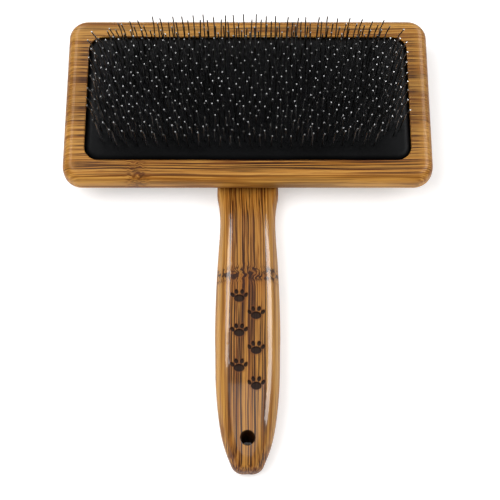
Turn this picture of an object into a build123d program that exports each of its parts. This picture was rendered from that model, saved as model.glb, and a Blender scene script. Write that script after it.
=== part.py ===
from build123d import *
import math
import os
import random

# Slicker brush with a wooden head and handle, lying on its back.
# +X runs across the head, +Y from the handle's end to the head, and +Z up through the pins.
# The origin is on the plane that the brush rests on, in the middle of its length and width.
# Lengths are in millimetres and angles in degrees.

# Overall size
overall_length = 171.0
head_width = 132.5
head_depth = 67.5
head_thick = 10.0

# Head: a board with a routed pocket
head_corner = 7.0
front_round = 3.5
back_round = 4.5
pocket_width = 117.0
pocket_depth = 51.5
pocket_corner = 5.4
floor_thick = 3.0
rim_round = 0.5

# Handle: a lap under the head, then a shaped grip
lap_thick = 8.5
lap_width = 22.0
lap_length = 32.0
lap_corner = 10.0
lap_edge = 2.2
handle_back_round = 4.0
end_round = 3.8
grip_thick = 14.5
# Each grip station: distance from the head's near edge, width, thickness, front corner radius
grip_stations = [
    (0.0, 22.0, lap_thick, lap_edge),
    (4.0, 20.7, 9.3, 3.4),
    (9.5, 19.8, 11.0, 4.4),
    (17.0, 19.9, 12.9, 5.0),
    (29.0, 21.2, 14.2, 5.4),
    (44.0, 22.3, grip_thick, 5.6),
    (58.0, 22.5, grip_thick, 5.6),
    (72.0, 21.9, grip_thick, 5.4),
    (82.0, 20.4, 13.9, 5.2),
    (90.0, 18.1, 12.8, 5.0),
    (96.5, 14.6, 11.4, 4.8),
    (100.0, 11.8, 10.3, 4.5),
    (overall_length - head_depth, 9.2, 9.0, 4.2),
]

# Hanging hole near the handle's end
hang_hole_radius = 2.25
hang_hole_from_end = 10.0
hang_hole_mouth = 0.4

# Shallow burnt paw prints on the grip: two columns that walk towards the head
paw_sink = 0.4
paw_column = 2.9
paw_first = 44.0
paw_step = 6.4
paw_count = 6
paw_pad = (1.75, 1.35)
paw_toe = (0.62, 0.9)
paw_toe_reach = 2.65
paw_toe_angles = (28.0, 68.0, 112.0, 152.0)

# Lap screws, driven from inside the pocket into the handle
screw_places = (-8.0, -22.0)
screw_radius = 1.5
screw_head_radius = 2.8
screw_into_lap = 6.4
screw_tip = 1.6
screw_clearance = 0.03
screw_recess = (3.0, 0.7, 0.8)

# Pad: foam, cloth foundation and rubber facing
pad_gap = 0.45
foam_thick = 3.5
crown_space = 0.5
foundation_thick = 1.2
facing_edge_drop = 1.0
facing_crown_rise = 1.5
facing_round = 1.2

# Pins: bent wire staples with two pins each, crown along X
wire_radius = 0.225
pin_rows = 22
row_pitch = 1.91
pins_per_row = 30
pin_pitch = 3.65
row_shift = pin_pitch / 4
field_corner = 5.5
field_slack = 0.01
lower_leg = 14.0
upper_leg = 6.4
crown_bend = 0.5
knee_bend = 1.5
lower_lean = 5.0
upper_lean = -15.0
fan_y = 13.2
fan_y_fade = 0.8
fan_x = 2.5
fan_x_end = 3.5
fan_x_far = 9.0
end_power = 5
far_power = 4
scatter = 2.4
scatter_seed = 7

# Levels and places worked out from the driving dimensions
head_y = (overall_length - head_depth) / 2
head_near_edge = head_y - head_depth / 2
handle_end = -overall_length / 2
head_back = lap_thick
head_front = head_back + head_thick
pocket_floor = head_back + floor_thick
foam_top = pocket_floor + foam_thick
foundation_base = foam_top + crown_space
facing_base = foundation_base + foundation_thick
facing_edge = head_front - facing_edge_drop
facing_crown = head_front + facing_crown_rise
pad_width = pocket_width - 2 * pad_gap
pad_depth = pocket_depth - 2 * pad_gap
pad_corner = pocket_corner - pad_gap
crown_level = foam_top + crown_space / 2
field_x = pin_pitch * (pins_per_row - 1) / 2
field_y = row_pitch * (pin_rows - 1) / 2
field_edge = field_x + row_shift


def save(piece, name):
    """Label a finished piece and write it as its own STEP file."""
    piece.label = name
    export_step(piece, f"parts/{name}.step")


def make_head():
    """The board that carries the pad: rounded outside, with a pocket routed into its front."""
    with BuildPart() as head:
        with BuildSketch(Plane.XY.offset(head_back)):
            with Locations((0, head_y)):
                RectangleRounded(head_width, head_depth, head_corner)
        extrude(amount=head_thick)
        fillet(head.faces().sort_by(Axis.Z)[-1].edges(), radius=front_round)
        fillet(head.faces().sort_by(Axis.Z)[0].edges(), radius=back_round)
        with BuildSketch(Plane.XY.offset(pocket_floor)):
            with Locations((0, head_y)):
                RectangleRounded(pocket_width, pocket_depth, pocket_corner)
        extrude(amount=head_front - pocket_floor, mode=Mode.SUBTRACT)
        front_face = head.faces().filter_by(Axis.Z).sort_by(Axis.Z)[-1]
        fillet(front_face.inner_wires()[0].edges(), radius=rim_round)
        with Locations(*[(0, head_y + place, pocket_floor) for place in screw_places]):
            CounterSinkHole(
                radius=screw_radius + screw_clearance,
                counter_sink_radius=screw_head_radius + screw_clearance,
                depth=floor_thick,
                counter_sink_angle=90,
            )
    save(head.part, "head")


def make_handle():
    """The lap that lies under the head, and the grip lofted through its stations."""
    with BuildPart() as handle:
        # The lap has a rounded far end; it starts at the head's near edge.
        with BuildSketch(Plane.XY):
            with Locations((0, head_near_edge + lap_length / 2)):
                lap = Rectangle(lap_width, lap_length)
            fillet(lap.vertices().group_by(Axis.Y)[-1], radius=lap_corner)
        extrude(amount=lap_thick)
        near_plane = handle.faces().sort_by(Axis.Y)[0]
        open_edges = handle.edges() - near_plane.edges()
        fillet(open_edges.group_by(Axis.Z)[0], radius=handle_back_round)
        open_edges = handle.edges() - handle.faces().sort_by(Axis.Y)[0].edges()
        fillet(open_edges.group_by(Axis.Z)[-1], radius=lap_edge)
        # The grip's cross-sections stand across Y, with their flat back on the resting plane.
        for distance, width, thick, front_radius in grip_stations:
            with BuildSketch(Plane.XZ.offset(distance - head_near_edge)):
                with Locations((0, thick / 2)):
                    section = Rectangle(width, thick)
                fillet(section.vertices().group_by(Axis.Z)[-1], radius=front_radius)
                fillet(section.vertices().group_by(Axis.Z)[0], radius=handle_back_round)
        loft()
        fillet(handle.faces().sort_by(Axis.Y)[0].edges(), radius=end_round)
        # The hanging hole goes right through, with softened mouths.
        with Locations((0, handle_end + hang_hole_from_end, lap_thick)):
            Hole(radius=hang_hole_radius)
        fillet(handle.edges(Select.LAST).filter_by(GeomType.LINE, reverse=True), radius=hang_hole_mouth)
        # Pilot holes for the lap screws
        with Locations(*[(0, head_y + place, lap_thick) for place in screw_places]):
            Hole(radius=screw_radius + screw_clearance, depth=screw_into_lap + screw_clearance)
        # Paw prints, each one a large pad with toes ahead of it
        with BuildSketch(Plane.XY.offset(grip_thick + paw_sink)):
            for step in range(paw_count):
                side = 1 if step % 2 else -1
                paw_y = head_near_edge - paw_first - step * paw_step
                with Locations((side * paw_column, paw_y)):
                    Ellipse(*paw_pad)
                for angle in paw_toe_angles:
                    toe_x = side * paw_column + paw_toe_reach * math.cos(math.radians(angle))
                    toe_y = paw_y + paw_toe_reach * math.sin(math.radians(angle))
                    with Locations(Location((toe_x, toe_y, 0), (0, 0, (angle - 90) / 2))):
                        Ellipse(*paw_toe)
        extrude(amount=-2 * paw_sink, mode=Mode.SUBTRACT)
    save(handle.part, "handle")


def make_lap_screw(name, place):
    """A countersunk wood screw, head down in the pocket's floor and tip in the lap."""
    top = pocket_floor
    tip = lap_thick - screw_into_lap
    cone = screw_head_radius - screw_radius
    with BuildPart() as screw:
        with BuildSketch(Plane.XZ.offset(-head_y - place)):
            with BuildLine():
                Polyline(
                    (0, top),
                    (screw_head_radius, top),
                    (screw_radius, top - cone),
                    (screw_radius, tip + screw_tip),
                    (0, tip),
                    close=True,
                )
            make_face()
        revolve(axis=Axis((0, head_y + place, 0), (0, 0, 1)))
        # Cross recess in the head
        with BuildSketch(Plane.XY.offset(top)):
            with Locations((0, head_y + place)):
                Rectangle(screw_recess[0], screw_recess[1])
                Rectangle(screw_recess[1], screw_recess[0])
        extrude(amount=-screw_recess[2], mode=Mode.SUBTRACT)
    save(screw.part, name)


def make_pad_layer(name, base, thick):
    """A flat layer of the pad that fills the pocket apart from a narrow gap at its wall."""
    with BuildPart() as layer:
        with BuildSketch(Plane.XY.offset(base)):
            with Locations((0, head_y)):
                RectangleRounded(pad_width, pad_depth, pad_corner)
        extrude(amount=thick)
    save(layer.part, name)


def make_pad_facing():
    """The rubber face of the pad, crowned both ways so that its middle stands above its edge."""
    with BuildPart() as facing:
        with BuildSketch(Plane.XY.offset(facing_base)):
            with Locations((0, head_y)):
                RectangleRounded(pad_width, pad_depth, pad_corner)
        extrude(amount=facing_crown - facing_base)
        # One crowned profile cuts it across X, the other along Y.
        crowns = (
            (Plane.XZ.offset(-head_y), pad_width, pad_depth),
            (Plane.YZ.shift_origin((0, head_y, 0)), pad_depth, pad_width),
        )
        for plane, span, length in crowns:
            with BuildSketch(plane):
                with BuildLine():
                    ThreePointArc((-span / 2, facing_edge), (0, facing_crown), (span / 2, facing_edge))
                    Polyline(
                        (span / 2, facing_edge),
                        (span / 2, facing_base),
                        (-span / 2, facing_base),
                        (-span / 2, facing_edge),
                    )
                make_face()
            extrude(amount=length / 2, both=True, mode=Mode.INTERSECT)
    save(facing.part, "pad_facing")


def lean_step(length, lean_x, lean_y):
    """The way along a straight leg that leans by two angles from upright."""
    way = Vector(math.tan(math.radians(lean_x)), math.tan(math.radians(lean_y)), 1)
    return way.normalized() * length


def pin_points(x, y, rng):
    """Foot, knee and tip of one pin: the pins fan out over the crowned pad and bend to the handle."""
    across = x / field_x
    along = y / field_y
    # The lean across grows fast towards the field's ends, and most of all in its far rows.
    end_lean = fan_x_end + fan_x_far * max(along, 0) ** far_power
    fan_across = fan_x * across + end_lean * across**end_power + rng.uniform(-scatter, scatter)
    fan_along = fan_y * (1 - fan_y_fade * across**2) * along + rng.uniform(-scatter, scatter)
    foot = Vector(x, head_y + y, crown_level)
    knee = foot + lean_step(lower_leg, fan_across, fan_along + lower_lean)
    tip = knee + lean_step(upper_leg, fan_across, fan_along + upper_lean)
    return foot, knee, tip


def in_field(x, y):
    """True where a foot lies inside the field of pins, which has rounded corners as the pad has."""
    over_x = max(abs(x) - (field_edge - field_corner), 0)
    over_y = max(abs(y) - (field_y - field_corner), 0)
    return math.hypot(over_x, over_y) <= field_corner + field_slack


def make_pin_row(index, rng):
    """A row of staples. Alternate rows sit half a pitch over, and a staple past a corner is left out."""
    y = row_pitch * index - field_y
    shift = row_shift if index % 2 else -row_shift
    with BuildPart() as row:
        for first in range(0, pins_per_row, 2):
            x = first * pin_pitch - field_x + shift
            next_x = x + pin_pitch
            if not (in_field(x, y) and in_field(next_x, y)):
                continue
            foot, knee, tip = pin_points(x, y, rng)
            next_foot, next_knee, next_tip = pin_points(next_x, y, rng)
            with BuildLine() as wire:
                FilletPolyline(
                    tip,
                    knee,
                    foot,
                    next_foot,
                    next_knee,
                    next_tip,
                    radius=[knee_bend, crown_bend, crown_bend, knee_bend],
                )
            with BuildSketch(Plane(origin=tip, z_dir=knee - tip)):
                Circle(wire_radius)
            sweep(path=wire.wire())
    save(row.part, f"pin_row_{index + 1:02d}")


def main():
    os.makedirs("parts", exist_ok=True)
    make_head()
    make_handle()
    for number, place in enumerate(screw_places, 1):
        make_lap_screw(f"lap_screw_{number}", place)
    make_pad_layer("foam_cushion", pocket_floor, foam_thick)
    make_pad_layer("pad_foundation", foundation_base, foundation_thick)
    make_pad_facing()
    rng = random.Random(scatter_seed)
    for index in range(pin_rows):
        make_pin_row(index, rng)


main()
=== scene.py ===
import bmesh
import bpy
import math
import numpy as np
import random
from mathutils import Matrix, Vector


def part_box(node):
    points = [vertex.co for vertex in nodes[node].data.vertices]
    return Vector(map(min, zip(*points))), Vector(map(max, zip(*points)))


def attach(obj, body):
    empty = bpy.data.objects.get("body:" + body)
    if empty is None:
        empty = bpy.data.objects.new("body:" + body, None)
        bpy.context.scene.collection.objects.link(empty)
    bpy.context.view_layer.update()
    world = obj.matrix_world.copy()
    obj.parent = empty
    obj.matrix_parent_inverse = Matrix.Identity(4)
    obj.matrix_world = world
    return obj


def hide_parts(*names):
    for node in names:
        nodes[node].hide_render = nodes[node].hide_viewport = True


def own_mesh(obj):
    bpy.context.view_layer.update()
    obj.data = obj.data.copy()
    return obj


# Slicker brush on a pale floor. The CAD nodes are the frame: the wood, the screws and the wire pins
# keep their CAD shapes and get materials, and the pad's soft layers are modelled here.
MM = 0.001

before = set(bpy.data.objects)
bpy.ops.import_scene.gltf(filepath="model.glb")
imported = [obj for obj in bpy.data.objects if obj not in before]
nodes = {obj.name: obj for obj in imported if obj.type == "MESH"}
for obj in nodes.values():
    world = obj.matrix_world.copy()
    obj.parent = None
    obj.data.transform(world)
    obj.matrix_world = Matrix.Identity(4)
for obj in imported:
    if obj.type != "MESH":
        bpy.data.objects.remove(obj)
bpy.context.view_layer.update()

head_low, head_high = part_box("head")
handle_low, handle_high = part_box("handle")
head_mid = (head_low + head_high) / 2
front = head_high.z


# ---------------------------------------------------------------- material tools

class Graph:
    """A short way to write a procedural material: every call adds a node and returns its output."""

    def __init__(self, name):
        self.material = bpy.data.materials.new(name)
        self.material.use_nodes = True
        self.tree = self.material.node_tree
        self.shader = self.tree.nodes["Principled BSDF"]
        self.point = self.vector("SCALE", self.node("ShaderNodeTexCoord", out="Object"), scale=1 / MM)

    def node(self, kind, out=0, settings=None, **inputs):
        made = self.tree.nodes.new(kind)
        for key, value in (settings or {}).items():
            setattr(made, key, value)
        for key, value in inputs.items():
            self.put(made.inputs[key.replace("_", " ")], value)
        return made.outputs[out]

    def put(self, socket, value):
        if isinstance(value, bpy.types.NodeSocket):
            self.tree.links.new(value, socket)
        elif isinstance(value, tuple) and len(value) == 3 and socket.type == "RGBA":
            socket.default_value = (*value, 1.0)
        else:
            socket.default_value = value

    def math(self, operation, a, b=0.0):
        made = self.tree.nodes.new("ShaderNodeMath")
        made.operation = operation
        for socket, value in zip(made.inputs, (a, b)):
            self.put(socket, value)
        return made.outputs[0]

    def vector(self, operation, a, b=(0, 0, 0), scale=1.0):
        made = self.tree.nodes.new("ShaderNodeVectorMath")
        made.operation = operation
        self.put(made.inputs[0], a)
        if operation == "SCALE":
            made.inputs["Scale"].default_value = scale
        else:
            self.put(made.inputs[1], b)
        return made.outputs["Value" if operation == "LENGTH" else "Vector"]

    def split(self, vector):
        made = self.tree.nodes.new("ShaderNodeSeparateXYZ")
        self.put(made.inputs[0], vector)
        return made.outputs[0], made.outputs[1], made.outputs[2]

    def join(self, x, y, z):
        made = self.tree.nodes.new("ShaderNodeCombineXYZ")
        for socket, value in zip(made.inputs, (x, y, z)):
            self.put(socket, value)
        return made.outputs[0]

    def noise(self, vector, scale=1.0, detail=2.0, roughness=0.5):
        return self.node("ShaderNodeTexNoise", out=0, Vector=vector, Scale=scale, Detail=detail,
                         Roughness=roughness)

    def step(self, value, low, high, to_low=0.0, to_high=1.0):
        """A smooth step: value below low gives to_low, above high gives to_high."""
        made = self.tree.nodes.new("ShaderNodeMapRange")
        made.interpolation_type = "SMOOTHSTEP"
        for socket, number in zip(made.inputs, (value, low, high, to_low, to_high)):
            self.put(socket, number)
        return made.outputs[0]

    def mix(self, factor, a, b, blend="MIX"):
        made = self.tree.nodes.new("ShaderNodeMix")
        made.data_type = "RGBA"
        made.blend_type = blend
        self.put(made.inputs[0], factor)
        self.put(made.inputs[6], a)
        self.put(made.inputs[7], b)
        return made.outputs[2]

    def bump(self, height, distance, strength=1.0):
        made = self.tree.nodes.new("ShaderNodeBump")
        made.inputs["Strength"].default_value = strength
        made.inputs["Distance"].default_value = distance
        self.put(made.inputs["Height"], height)
        self.tree.links.new(made.outputs[0], self.shader.inputs["Normal"])

    def set(self, **inputs):
        for key, value in inputs.items():
            self.put(self.shader.inputs[key.replace("_", " ")], value)


def give(obj, material):
    """The object shows this material alone."""
    obj.data.materials.clear()
    obj.data.materials.append(material)


# ---------------------------------------------------------------- bamboo

TAN = (0.49, 0.243, 0.050)
HONEY = (0.31, 0.120, 0.015)
BROWN = (0.135, 0.037, 0.005)
FIBRE = (0.026, 0.007, 0.002)
CHAR = (0.008, 0.004, 0.003)
# Near-black colour that paints shade on the pocket's wall and in the hanging hole
PAINTED_SHADE_BLACK = (0.002, 0.0015, 0.001)
MIDDLE_TINT = (0.90, 0.82, 0.70)
BELOW_TINT = (0.90, 0.79, 0.62)

# Layers of fibres: their length and width in millimetres, and the shift of their noise
TONE = (90.0, 2.2, 0.0)
STREAK = (90.0, 0.70, 3.1)
FINE = (45.0, 0.40, 7.7)
HAIR = (8.0, 0.26, 12.3)
# How far fibres stray sideways: slowly everywhere, and in swirls at a node band
SWAY = 2.2
SWIRL = 3.2
# Where the hairline between two glued strips is full, and where it has gone
SEAM = (0.05, 0.28)


def node_weight(g, run, across, knots):
    """A weight that peaks at each node band, on that band's own side of the board."""
    knot = 0.0
    for place, side, reach in knots:
        near = g.math("ABSOLUTE", g.math("SUBTRACT", run, place))
        weight = g.step(near, 0.0, reach, 1.0, 0.0)
        if side:
            same_side = g.math("GREATER_THAN", g.math("MULTIPLY", across, side), 0.0)
            weight = g.math("MULTIPLY", weight, same_side)
        knot = g.math("MAXIMUM", knot, weight)
    return knot


def glued_strips(g, across, width, seed):
    """The lightness of each glued strip, and a weight for the dark hairline between two of them."""
    lane = g.math("DIVIDE", across, width)
    strip = g.node("ShaderNodeTexWhiteNoise", out="Value", settings={"noise_dimensions": "1D"},
                   W=g.math("ADD", g.math("ROUND", lane), seed))
    from_seam = g.math("ABSOLUTE", g.math("SUBTRACT", g.math("FRACT", lane), 0.5))
    seam = g.step(g.math("MULTIPLY", from_seam, width), *SEAM, 1.0, 0.0)
    return g.step(strip, 0.0, 1.0, 0.88, 1.10), seam


def bamboo(name, along, middle, knots, knot_dark, strip_width, seed, streaky, surface=None):
    """Lacquered laminated bamboo. along is 0 for grain along X and 1 for grain along Y.

    middle is where the board's middle line lies across the grain. knots holds (place along the grain,
    which side of the middle or 0 for both, reach) for each node band, and knot_dark how dark its knots
    are. surface(g, y) gives the height that the fibres follow, and streaky(g, x, y) how strong the dark
    fibres are.
    """
    g = Graph(name)
    x, y, z = g.split(g.point)
    run, across = (x, y) if along == 0 else (y, x)
    across = g.math("SUBTRACT", across, middle)
    deep = z
    if surface:
        deep = g.math("SUBTRACT", surface(g, y), z)
    strength = streaky(g, x, y)

    # Fibres wander slowly, and swirl where a node band crosses them
    knot = node_weight(g, run, across, knots)
    slow = g.join(g.math("MULTIPLY", run, 0.022), g.math("MULTIPLY", across, 0.05), seed)
    quick = g.join(g.math("MULTIPLY", run, 0.45), g.math("MULTIPLY", across, 0.32), deep)
    sway = g.math("MULTIPLY", g.math("SUBTRACT", g.noise(slow, detail=1.0), 0.5), SWAY)
    swirl = g.math("MULTIPLY", g.math("SUBTRACT", g.noise(quick, detail=1.0), 0.5), SWIRL)
    wide = g.math("ADD", across, g.math("ADD", sway, g.math("MULTIPLY", swirl, knot)))

    def fibres(length, width, shift):
        """Noise drawn out along the grain: features of about this length and width in millimetres."""
        spot = g.join(
            g.math("ADD", g.math("DIVIDE", run, length), seed + shift),
            g.math("DIVIDE", wide, width),
            g.math("DIVIDE", deep, width * 4.0),
        )
        return g.noise(spot)

    def shade(colour, amount, other):
        return g.mix(g.math("MULTIPLY", amount, strength), colour, other)

    tone, streak, fine, hair = (fibres(*layer) for layer in (TONE, STREAK, FINE, HAIR))
    lightness, seam = glued_strips(g, across, strip_width, seed)
    colour = g.mix(g.step(tone, 0.36, 0.62), TAN, HONEY)
    colour = shade(colour, g.step(streak, 0.45, 0.60, 0.0, 0.90), BROWN)
    colour = shade(colour, g.step(fine, 0.50, 0.60, 0.0, 0.95), FIBRE)
    colour = g.mix(g.step(fine, 0.47, 0.38, 0.0, 0.90), colour, TAN)
    colour = shade(colour, g.step(hair, 0.54, 0.70, 0.0, 0.50), BROWN)
    colour = g.mix(g.math("MULTIPLY", seam, 0.6), colour, FIBRE)
    colour = g.mix(1.0, colour, g.join(lightness, lightness, lightness), "MULTIPLY")

    # The node band itself: a broken row of dark knots
    clots = g.noise(g.join(g.math("MULTIPLY", run, 0.5), g.math("MULTIPLY", wide, 0.95), deep))
    dark_knot = g.math("MULTIPLY", g.step(clots, 0.50, 0.57), g.step(knot, 0.30, 0.80))
    colour = g.mix(g.math("MULTIPLY", knot, 0.30), colour, BROWN)
    colour = g.mix(g.math("MULTIPLY", dark_knot, knot_dark), colour, FIBRE)

    # End grain drinks more lacquer, so it is darker
    normal = g.split(g.node("ShaderNodeNewGeometry", out="Normal"))
    end = g.step(g.math("ABSOLUTE", normal[along]), 0.62, 0.98)
    colour = g.mix(g.math("MULTIPLY", end, 0.38), colour, BROWN)

    height = g.math("ADD", g.math("MULTIPLY", fine, 0.6), g.math("MULTIPLY", hair, 0.4))
    gloss = g.step(streak, 0.35, 0.70, 0.42, 0.52)
    return g, colour, height, gloss, (x, y, z)


# Where the head's dark fibres fade, in millimetres: start and end of each fade. All are measured from
# the head's middle, apart from the near edge's, which is measured from that edge.
SHORT_BAND_FADE = (57.0, 59.0)
END_FADE = (60.0, 63.5)
FAR_BAND_FADE = (22.0, 27.0)
NEAR_EDGE_FADE = (1.0, 3.5)
# The head's node bands: place along it, side of its middle line, and reach
HEAD_NODE_BANDS = [(-39.5, -1, 6.0), (17.0, 1, 4.5)]
HEAD_STRIP = 19.5
# Just outside the walls of the pocket in the head, measured from the middle of the head
POCKET_HALF = (58.7, 25.95)
# How far below the head's front the pocket's wall is fully painted dark as shade, and where that painted
# shade starts
WALL_SHADE_FADE = (0.6, 0.2)
# Height of the fibres that the light picks out
GRAIN_RELIEF = 0.05 * MM


def head_streaks(g, x, y):
    """Dark fibres are strong along the near band and fainter on the far band, ends and near edge."""
    out = g.math("ABSOLUTE", x)
    ends = g.step(out, *END_FADE, 1.0, 0.35)
    sides = g.step(out, *SHORT_BAND_FADE, 1.0, 0.85)
    far_band = g.step(y, *(head_mid.y / MM + away for away in FAR_BAND_FADE), 1.0, 0.65)
    near_edge = g.step(y, *(head_low.y / MM + away for away in NEAR_EDGE_FADE), 0.45, 1.0)
    return g.math("MULTIPLY", g.math("MULTIPLY", ends, sides), g.math("MULTIPLY", far_band, near_edge))


def bamboo_head():
    g, colour, height, gloss, (x, y, z) = bamboo(
        "bamboo_head", along=0, middle=head_mid.y / MM, knots=HEAD_NODE_BANDS, knot_dark=0.45,
        strip_width=HEAD_STRIP, seed=4.0, streaky=head_streaks)

    # The wall of the pocket is painted near-black all the way round, as painted shade in the recess
    in_x = g.math("LESS_THAN", g.math("ABSOLUTE", x), POCKET_HALF[0])
    in_y = g.math("LESS_THAN", g.math("ABSOLUTE", g.math("SUBTRACT", y, head_mid.y / MM)), POCKET_HALF[1])
    below_front = g.step(z, *(front / MM - depth for depth in WALL_SHADE_FADE), 0.95, 0.0)
    wall = g.math("MULTIPLY", g.math("MULTIPLY", in_x, in_y), below_front)
    colour = g.mix(wall, colour, PAINTED_SHADE_BLACK)
    g.set(Base_Color=colour, Roughness=gloss, Specular_IOR_Level=0.1, Coat_Weight=0.1, Coat_Roughness=0.15)
    g.bump(height, GRAIN_RELIEF, 0.4)
    return g.material


# The burnt paw prints, in millimetres: two columns at this distance each side of the middle line, the
# first print this far from the head's near edge, and each print's pad and toes as half sizes
PAW_COLUMN = 2.9
PAW_FIRST = 44.0
PAW_STEP = 6.4
PAW_COUNT = 6
PAW_PAD = (1.75, 1.35)
PAW_TOE = (0.62, 0.9)
PAW_REACH = 2.65
PAW_TOE_ANGLES = (28.0, 68.0)
PAW_MARGIN = 1.0
# Prints are only on the part of the grip above this height
PAW_LEVEL = 11.0
# Odd, so that a print lies in the middle of each pair of steps, and large, so that the count that
# goes into the modulo stays positive all along the brush
PAW_STEPS_BACK = 101
HOLE_FROM_END = 10.0
# Distances from the hole's middle between which its painted-dark, dry wall ends
HOLE_WALL = (2.35, 2.75)
# The grip's node band, from the head's near edge, and how far the darker wood below it reaches
GRIP_NODE = 34.7
GRIP_NODE_REACH = 5.5
BELOW_REACH = 14
GRIP_STRIP = 12.4
# Distances from the middle line between which the grip's dark fibres and its dark middle end
SHOULDER_FADE = (5.4, 8.0)
MIDDLE_FADE = (5.6, 7.2)
# Where the grip's front rises and falls, from the head's near edge: start, reach and height
GRIP_RISE = (6.0, 32.0, 6.0)
GRIP_FALL = (68.0, 35.5, 5.5)


def paw_distance(g, x, y):
    """Distance to the nearest paw print's edge, as a ratio: 1 on the outline, less inside it."""
    head_edge = head_low.y / MM
    # Left-hand prints are the even ones; both columns repeat every two steps.
    right = g.math("GREATER_THAN", x, 0.0)
    start = g.math("SUBTRACT", head_edge - PAW_FIRST, g.math("MULTIPLY", right, PAW_STEP))
    along = g.math("SUBTRACT", y, start)
    steps = g.math("MODULO", g.math("ADD", along, PAW_STEPS_BACK * PAW_STEP), 2 * PAW_STEP)
    local_y = g.math("SUBTRACT", steps, PAW_STEP)
    local_x = g.math("ABSOLUTE", g.math("SUBTRACT", g.math("ABSOLUTE", x), PAW_COLUMN))

    def ellipse(centre, half, angle):
        dx = g.math("SUBTRACT", local_x, centre[0])
        dy = g.math("SUBTRACT", local_y, centre[1])
        c, s = math.cos(angle), math.sin(angle)
        u = g.math("ADD", g.math("MULTIPLY", dx, c / half[0]), g.math("MULTIPLY", dy, s / half[0]))
        v = g.math("ADD", g.math("MULTIPLY", dx, -s / half[1]), g.math("MULTIPLY", dy, c / half[1]))
        return g.vector("LENGTH", g.join(u, v, 0.0))

    nearest = ellipse((0.0, 0.0), PAW_PAD, 0.0)
    for angle in PAW_TOE_ANGLES:
        centre = (PAW_REACH * math.cos(math.radians(angle)), PAW_REACH * math.sin(math.radians(angle)))
        nearest = g.math("MINIMUM", nearest, ellipse(centre, PAW_TOE, math.radians((angle - 90) / 2)))
    return nearest


def grip_surface(g, y):
    """The height of the grip's front: it rises from the lap and falls again towards the end."""
    head_edge = head_low.y / MM
    rise = g.step(y, head_edge + GRIP_RISE[0], head_edge - GRIP_RISE[1], 0.0, GRIP_RISE[2])
    fall_part = g.math("DIVIDE", g.math("SUBTRACT", head_edge - GRIP_FALL[0], y), GRIP_FALL[1])
    fall = g.math("POWER", g.math("MAXIMUM", fall_part, 0.0), 2.2)
    return g.math("SUBTRACT", rise, g.math("MULTIPLY", fall, GRIP_FALL[2]))


def grip_streaks(g, x, y):
    """Fibres are dark down the flat middle of the grip and fade over its shoulders."""
    return g.step(g.math("ABSOLUTE", x), *SHOULDER_FADE, 1.0, 0.35)


def hole_place():
    """Where the hanging hole lies along the grip, in millimetres."""
    return handle_low.y / MM + HOLE_FROM_END


def bamboo_handle():
    head_edge = head_low.y / MM
    node_place = head_edge - GRIP_NODE
    g, colour, height, gloss, (x, y, z) = bamboo(
        "bamboo_handle", along=1, middle=0.0, knots=[(node_place, 0, GRIP_NODE_REACH)], knot_dark=0.92,
        strip_width=GRIP_STRIP, seed=9.0, streaky=grip_streaks, surface=grip_surface)

    # The middle strip is darker than the shoulders, and darker still just below the node band
    middle = g.step(g.math("ABSOLUTE", x), *MIDDLE_FADE, 1.0, 0.0)
    near_node = g.step(y, node_place - BELOW_REACH, node_place)
    below = g.math("MULTIPLY", g.math("LESS_THAN", y, node_place), near_node)
    colour = g.mix(middle, colour, MIDDLE_TINT, "MULTIPLY")
    colour = g.mix(g.math("MULTIPLY", below, middle), colour, BELOW_TINT, "MULTIPLY")

    # Burnt paw prints on the front of the grip
    ratio = paw_distance(g, x, y)
    first = head_edge - PAW_FIRST + PAW_REACH + PAW_PAD[1]
    last = head_edge - PAW_FIRST - (PAW_COUNT - 1) * PAW_STEP - PAW_PAD[1] - PAW_MARGIN
    inside = g.math("MULTIPLY", g.math("LESS_THAN", y, first), g.math("GREATER_THAN", y, last))
    inside = g.math("MULTIPLY", inside, g.math("GREATER_THAN", z, PAW_LEVEL))
    burnt = g.math("MULTIPLY", g.step(ratio, 0.98, 1.12, 1.0, 0.0), inside)
    scorch = g.math("MULTIPLY", g.step(ratio, 1.0, 1.75, 0.55, 0.0), inside)
    colour = g.mix(scorch, colour, BROWN)
    colour = g.mix(g.math("MULTIPLY", burnt, 0.93), colour, CHAR)

    # The drilled wall of the hanging hole is painted near-black, partly as painted shade in the hole and
    # partly as its darker end grain, and it is dry
    radius = g.vector("LENGTH", g.join(x, g.math("SUBTRACT", y, hole_place()), 0.0))
    bore = g.step(radius, *HOLE_WALL, 1.0, 0.0)
    colour = g.mix(g.math("MULTIPLY", bore, 0.95), colour, PAINTED_SHADE_BLACK)

    # The lacquer is thick on top, thin down the sides, and gone from the bore and the burnt prints; the
    # sides are also painted darker as they turn down, as painted shade
    up = g.split(g.node("ShaderNodeNewGeometry", out="Normal"))[2]
    colour = g.mix(g.step(up, 0.05, 0.60, 0.25, 0.0), colour, BROWN)
    bare = g.math("MAXIMUM", g.math("MULTIPLY", burnt, 0.7), bore)
    coat = g.math("MULTIPLY", g.step(up, 0.35, 0.80, 0.10, 0.80), g.math("SUBTRACT", 1.0, bare))
    rough = g.math("ADD", gloss, g.math("MULTIPLY", bare, 0.35))
    g.set(Base_Color=colour, Roughness=rough, Specular_IOR_Level=0.1, Coat_Weight=coat, Coat_Roughness=0.09)
    g.bump(height, GRAIN_RELIEF, 0.5)
    return g.material


# ---------------------------------------------------------------- metal, rubber, foam and cloth

def pin_steel():
    g = Graph("pin_steel")
    # Each wire has its own shade, which hardly changes along it, and is drawn smoother in some places
    shade = g.noise(g.vector("MULTIPLY", g.point, (0.55, 0.55, 0.03)), detail=1.0)
    draw = g.noise(g.vector("MULTIPLY", g.point, (9.0, 9.0, 0.5)), detail=1.0)
    colour = g.mix(g.step(shade, 0.36, 0.62), (0.46, 0.46, 0.465), (0.09, 0.088, 0.085))
    g.set(Base_Color=colour, Roughness=g.step(draw, 0.3, 0.7, 0.30, 0.42), Metallic=1.0)
    return g.material


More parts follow.
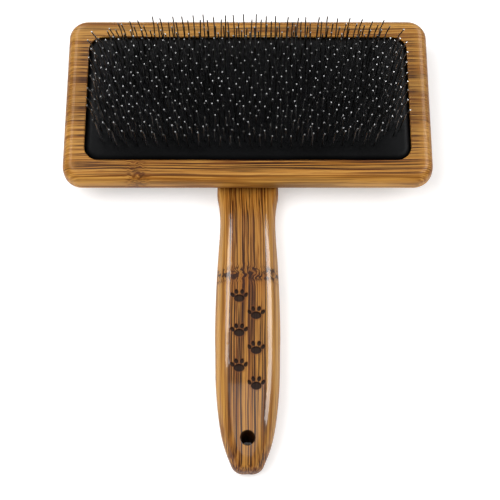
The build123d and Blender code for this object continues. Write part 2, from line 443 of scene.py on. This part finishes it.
def screw_steel():
    g = Graph("screw_steel")
    grime = g.noise(g.point, scale=1.4, detail=3.0)
    colour = g.mix(g.step(grime, 0.4, 0.7), (0.62, 0.62, 0.60), (0.38, 0.37, 0.34))
    g.set(Base_Color=colour, Roughness=g.step(grime, 0.3, 0.7, 0.28, 0.45), Metallic=1.0)
    g.bump(grime, 0.04 * MM, 0.4)
    return g.material


def rubber():
    g = Graph("rubber")
    grain = g.noise(g.point, scale=3.2, detail=3.0, roughness=0.6)
    cloud = g.noise(g.point, scale=0.06)
    colour = g.mix(g.step(cloud, 0.3, 0.7), (0.0012, 0.0013, 0.0015), (0.0024, 0.0026, 0.0030))
    g.set(Base_Color=colour, Roughness=g.step(cloud, 0.3, 0.7, 0.42, 0.52), Specular_IOR_Level=0.05)
    g.bump(grain, 0.06 * MM, 0.35)
    return g.material


def foam():
    g = Graph("foam")
    cells = g.node("ShaderNodeTexVoronoi", out="Distance", Vector=g.point, Scale=1.6)
    colour = g.mix(g.step(cells, 0.1, 0.5), (0.50, 0.43, 0.28), (0.72, 0.66, 0.50))
    g.set(Base_Color=colour, Roughness=0.95, Specular_IOR_Level=0.2)
    g.bump(cells, 0.25 * MM, 0.8)
    return g.material


# Radians of weave to each millimetre
THREADS = 9.0


def cloth():
    g = Graph("foundation_cloth")
    x, y, _ = g.split(g.point)
    warp = g.math("SINE", g.math("MULTIPLY", x, THREADS))
    weft = g.math("SINE", g.math("MULTIPLY", y, THREADS))
    weave = g.math("MULTIPLY", warp, weft)
    colour = g.mix(g.step(weave, -0.6, 0.6), (0.07, 0.066, 0.060), (0.17, 0.16, 0.145))
    g.set(Base_Color=colour, Roughness=0.9, Sheen_Weight=0.2)
    g.bump(weave, 0.12 * MM, 0.8)
    return g.material


# ---------------------------------------------------------------- soft layers of the pad

# Insets of the first grid lines from each edge, in millimetres
EDGE_STEPS = (0.0, 0.1, 0.3, 0.6, 1.0, 1.5, 2.1, 2.8, 3.6, 4.4)
# Rings of faces down each side
SIDE_LEVELS = 5
# Wires lie further apart than this along a row
WIRE_GAP = 1.0 * MM


def stations(half, spacing):
    """Grid lines from -half to half, closer together where the surface rolls over its edge."""
    near = [half - inset * MM for inset in EDGE_STEPS]
    count = max(2, round(2 * near[-1] / spacing))
    inner = [-near[-1] + 2 * near[-1] * k / count for k in range(1, count)]
    return np.array([-v for v in near] + inner + near[::-1])


def rounded_grid(half_x, half_y, corner, spacing):
    """Grid points over a rounded rectangle, and how far each lies in from its edge."""
    xs, ys = stations(half_x, spacing), stations(half_y, spacing)
    x, y = np.meshgrid(xs, ys, indexing="ij")
    inset = np.minimum(half_x - abs(x), half_y - abs(y))
    # Inside each corner square, squares about the corner's centre become quarter circles
    s = (abs(x) - (half_x - corner)) / corner
    t = (abs(y) - (half_y - corner)) / corner
    in_corner = (s > 0) & (t > 0)
    shrink = np.where(in_corner, np.maximum(s, t) / np.maximum(np.hypot(s, t), 1e-9), 1.0)
    x = np.where(in_corner, np.sign(x) * (half_x - corner + s * shrink * corner), x)
    y = np.where(in_corner, np.sign(y) * (half_y - corner + t * shrink * corner), y)
    inset = np.where(in_corner, corner * (1 - np.maximum(s, t)), inset)
    return x, y, inset


def edge_roll(inset, reach, drop):
    """How far a padded surface has come down at each inset from its edge: a quarter round."""
    over = np.clip(1.0 - inset / reach, 0.0, 1.0)
    return drop * (1.0 - np.sqrt(1.0 - over**2))


def soft_slab(name, node, corner, spacing, top_of, bulge, material, body):
    """A closed soft layer in the place of a CAD layer, which it replaces.

    top_of(x, y, inset) gives the heights of its top, and bulge is how far its sides swell.
    """
    low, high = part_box(node)
    middle = (low + high) / 2
    x, y, inset = rounded_grid((high.x - low.x) / 2, (high.y - low.y) / 2, corner, spacing)
    z = top_of(x, y, inset)
    rows, columns = x.shape
    bm = bmesh.new()
    grid = [[bm.verts.new((middle.x + x[i, j], middle.y + y[i, j], z[i, j])) for j in range(columns)]
            for i in range(rows)]
    for i in range(rows - 1):
        for j in range(columns - 1):
            bm.faces.new((grid[i][j], grid[i + 1][j], grid[i + 1][j + 1], grid[i][j + 1]))
    # The rim in order round the outline, anticlockwise from above
    rim = [grid[i][0] for i in range(rows)]
    rim += [grid[-1][j] for j in range(1, columns)]
    rim += [grid[i][-1] for i in range(rows - 2, -1, -1)]
    rim += [grid[0][j] for j in range(columns - 2, 0, -1)]
    upper = rim
    for level in range(1, SIDE_LEVELS + 1):
        share = level / SIDE_LEVELS
        swell = 1.0 + bulge * math.sin(math.pi * share) / (high.y - low.y) * 2
        lower = [
            bm.verts.new((
                middle.x + (v.co.x - middle.x) * swell,
                middle.y + (v.co.y - middle.y) * swell,
                v.co.z + (low.z - v.co.z) * share,
            ))
            for v in rim
        ]
        for k in range(len(rim)):
            m = (k + 1) % len(rim)
            bm.faces.new((lower[k], lower[m], upper[m], upper[k]))
        upper = lower
    bm.faces.new(upper[::-1])
    for face in bm.faces:
        face.smooth = len(face.verts) == 4
    mesh = bpy.data.meshes.new(name)
    bm.to_mesh(mesh)
    bm.free()
    piece = bpy.data.objects.new(name, mesh)
    bpy.context.scene.collection.objects.link(piece)
    give(piece, material)
    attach(piece, body)
    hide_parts(node)
    return piece


def pins_at(height):
    """Where every wire crosses a height: the middle of each ring of crossing points."""
    found = []
    for name, obj in nodes.items():
        if not name.startswith("pin_row_"):
            continue
        mesh = obj.data
        points = np.zeros(len(mesh.vertices) * 3)
        mesh.vertices.foreach_get("co", points)
        points = points.reshape(-1, 3)
        ends = np.zeros(len(mesh.edges) * 2, dtype=int)
        mesh.edges.foreach_get("vertices", ends)
        a, b = points[ends[0::2]], points[ends[1::2]]
        crossing = (a[:, 2] - height) * (b[:, 2] - height) < 0
        a, b = a[crossing], b[crossing]
        share = ((height - a[:, 2]) / (b[:, 2] - a[:, 2]))[:, None]
        cuts = (a + (b - a) * share)[:, :2]
        cuts = cuts[np.argsort(cuts[:, 0])]
        gaps = np.where(np.diff(cuts[:, 0]) > WIRE_GAP)[0] + 1
        found += [ring.mean(axis=0) for ring in np.split(cuts, gaps)]
    return np.array(found)


# How far the rubber's middle and its shoulder stand above the head's front, and how far in its edge rolls
FACING_RISE = 1.5 * MM
FACING_SHOULDER = 0.1 * MM
FACING_ROLL = 2.0 * MM
# The crown's middle is flatter the higher these powers are
CROWN_POWERS = (2.6, 2.2)
DIMPLE_DEPTH = 0.16 * MM
DIMPLE_RADIUS = 0.75 * MM


def facing_top(x, y, inset):
    """The rubber's crown, its rolled edge, and a small pucker round every wire."""
    half_x, half_y = x.max(), y.max()
    crown = (1 - (abs(x) / half_x) ** CROWN_POWERS[0]) * (1 - (abs(y) / half_y) ** CROWN_POWERS[1])
    z = front + FACING_SHOULDER + (FACING_RISE - FACING_SHOULDER) * crown
    z -= edge_roll(inset, FACING_ROLL, FACING_ROLL * 0.8)
    pins = pins_at(front + FACING_SHOULDER) - np.array([head_mid.x, head_mid.y])
    for pin_x, pin_y in pins:
        near = np.hypot(x - pin_x, y - pin_y) / DIMPLE_RADIUS
        z -= DIMPLE_DEPTH * np.exp(-near**2)
    return z


# A soft layer's lumps are a sum of this many waves, with this many radians to each metre
LUMP_WAVES = 6
LUMP_RATES = (100, 420)


def flat_top(node, roll, lumps, seed):
    """The top of a plain soft layer: flat, with a rolled edge and slow lumps."""
    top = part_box(node)[1].z
    rng = random.Random(seed)
    waves = [(rng.uniform(*LUMP_RATES), rng.uniform(*LUMP_RATES), rng.uniform(0, 6.28))
             for _ in range(LUMP_WAVES)]

    def height(x, y, inset):
        z = top - edge_roll(inset, roll, roll) - lumps
        for fx, fy, phase in waves:
            z = z + lumps / len(waves) * np.sin(fx * x + fy * y + phase)
        return z

    return height


PAD_CORNER = 4.95 * MM
# Distance between grid lines of each soft layer
FACING_GRID = 0.45 * MM
CLOTH_GRID = 1.6 * MM
FOAM_GRID = 1.2 * MM
FOAM_BULGE = 0.15 * MM


def make_pad():
    facing = soft_slab("rubber_facing", "pad_facing", PAD_CORNER, FACING_GRID, facing_top, 0.0,
                       rubber(), "pin_pad")
    cloth_top = flat_top("pad_foundation", roll=0.4 * MM, lumps=0.03 * MM, seed=3)
    felt = soft_slab("foundation_cloth", "pad_foundation", PAD_CORNER, CLOTH_GRID, cloth_top, 0.0,
                     cloth(), "pin_pad")
    foam_top = flat_top("foam_cushion", roll=0.9 * MM, lumps=0.06 * MM, seed=5)
    cushion = soft_slab("foam_layer", "foam_cushion", PAD_CORNER, FOAM_GRID, foam_top, FOAM_BULGE,
                        foam(), "root")
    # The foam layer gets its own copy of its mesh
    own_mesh(cushion)


# ---------------------------------------------------------------- the CAD nodes' materials

def dress_nodes():
    give(nodes["head"], bamboo_head())
    give(nodes["handle"], bamboo_handle())
    screws, wire = screw_steel(), pin_steel()
    for name, obj in nodes.items():
        if name.startswith("lap_screw"):
            give(obj, screws)
        if name.startswith("pin_row"):
            give(obj, wire)


# ---------------------------------------------------------------- camera, light and floor

# The camera's angle from straight down, and its distance from the head's front
CAMERA_TILT = math.radians(25)
CAMERA_DISTANCE = 574 * MM
# How far the view is lowered and shifted, which puts the head above the middle of the picture
CAMERA_RISE = 55.6 * MM
CAMERA_SIDE = 0.8 * MM
# Focal length in millimetres
CAMERA_LENS = 113.8


def make_camera():
    """Looks down at the pad from the handle's side, with the head above the middle of the view."""
    data = bpy.data.cameras.new("camera")
    data.lens = CAMERA_LENS
    data.sensor_width = 36
    data.clip_start = 0.01
    camera = bpy.data.objects.new("camera", data)
    bpy.context.scene.collection.objects.link(camera)
    sin, cos = math.sin(CAMERA_TILT), math.cos(CAMERA_TILT)
    camera.location = (
        head_mid.x + CAMERA_SIDE,
        head_mid.y - CAMERA_DISTANCE * sin - CAMERA_RISE * cos,
        front + CAMERA_DISTANCE * cos - CAMERA_RISE * sin,
    )
    camera.rotation_euler = (CAMERA_TILT, 0, 0)
    bpy.context.scene.camera = camera


def softbox(name, near, far, target, width, watts, shades=True, shines=True):
    """A rectangular area light whose long middle line runs from near to far, and which faces a target.

    shades says whether it lights matt surfaces, and shines whether glossy ones reflect it.
    """
    near, far, target = Vector(near), Vector(far), Vector(target)
    place = (near + far) / 2
    length_way = (far - near).normalized()
    back = place - target
    back = (back - length_way * back.dot(length_way)).normalized()
    data = bpy.data.lights.new(name, "AREA")
    data.shape = "RECTANGLE"
    data.size, data.size_y = width, (far - near).length
    data.energy = watts
    light = bpy.data.objects.new(name, data)
    turn = Matrix((length_way.cross(back), length_way, back)).transposed()
    light.matrix_world = Matrix.Translation(place) @ turn.to_4x4()
    light.visible_diffuse = shades
    light.visible_glossy = shines
    bpy.context.scene.collection.objects.link(light)


WORLD_LIGHT = 0.24
FLOOR_REACH = 3.0
FLOOR_LEVEL = -0.2 * MM
FLOOR_GLOW = 0.42
# Distances from the hanging hole, in millimetres, between which the floor's glow comes up round the painted
# shadow under the hole
HOLE_SHADOW_FADE = (4.0, 7.0)


def make_lights():
    world = bpy.data.worlds.new("studio")
    world.use_nodes = True
    world.node_tree.nodes["Background"].inputs["Color"].default_value = (1, 1, 1, 1)
    world.node_tree.nodes["Background"].inputs["Strength"].default_value = WORLD_LIGHT
    bpy.context.scene.world = world
    bpy.context.scene.view_settings.view_transform = "Standard"
    grip = (0, -0.02, 0.01)
    # Large soft lights shade the brush, and two strips draw the long highlights on its shoulders
    softbox("key_box", (-0.46, -0.50, 0.70), (-0.46, 0.30, 0.80), grip, 0.70, 6.4, shines=False)
    softbox("fill_box", (0.62, -0.30, 0.62), (0.62, 0.40, 0.62), grip, 0.60, 3.0, shines=False)
    softbox("top_box", (-0.10, -0.40, 0.88), (-0.10, 0.20, 0.95), (0, 0.03, 0.02), 0.62, 1.6)
    softbox("left_strip", (-0.30, 0.19, 0.57), (-0.26, 0.80, 0.34), grip, 0.28, 4.4, shades=False)
    softbox("right_strip", (0.44, -0.10, 0.58), (0.40, 0.74, 0.32), grip, 0.34, 8.6, shades=False)


def make_floor():
    mesh = bpy.data.meshes.new("floor")
    signs = ((-1, -1), (1, -1), (1, 1), (-1, 1))
    corners = [(side_x * FLOOR_REACH, side_y * FLOOR_REACH, FLOOR_LEVEL) for side_x, side_y in signs]
    mesh.from_pydata(corners, [], [(0, 1, 2, 3)])
    obj = bpy.data.objects.new("floor", mesh)
    bpy.context.scene.collection.objects.link(obj)
    g = Graph("floor")
    # The floor glows faintly, but not round the hanging hole where the grip's end lies on it: a painted
    # shadow seen through the hole
    x, y, _ = g.split(g.point)
    from_hole = g.vector("LENGTH", g.join(x, g.math("SUBTRACT", y, hole_place()), 0.0))
    g.set(Base_Color=(0.80, 0.80, 0.80), Roughness=0.9, Specular_IOR_Level=0.1)
    g.set(Emission_Color=(1.0, 1.0, 1.0), Emission_Strength=g.step(from_hole, *HOLE_SHADOW_FADE, 0.0, FLOOR_GLOW))
    obj.data.materials.append(g.material)


dress_nodes()
make_pad()
make_camera()
make_lights()
make_floor()
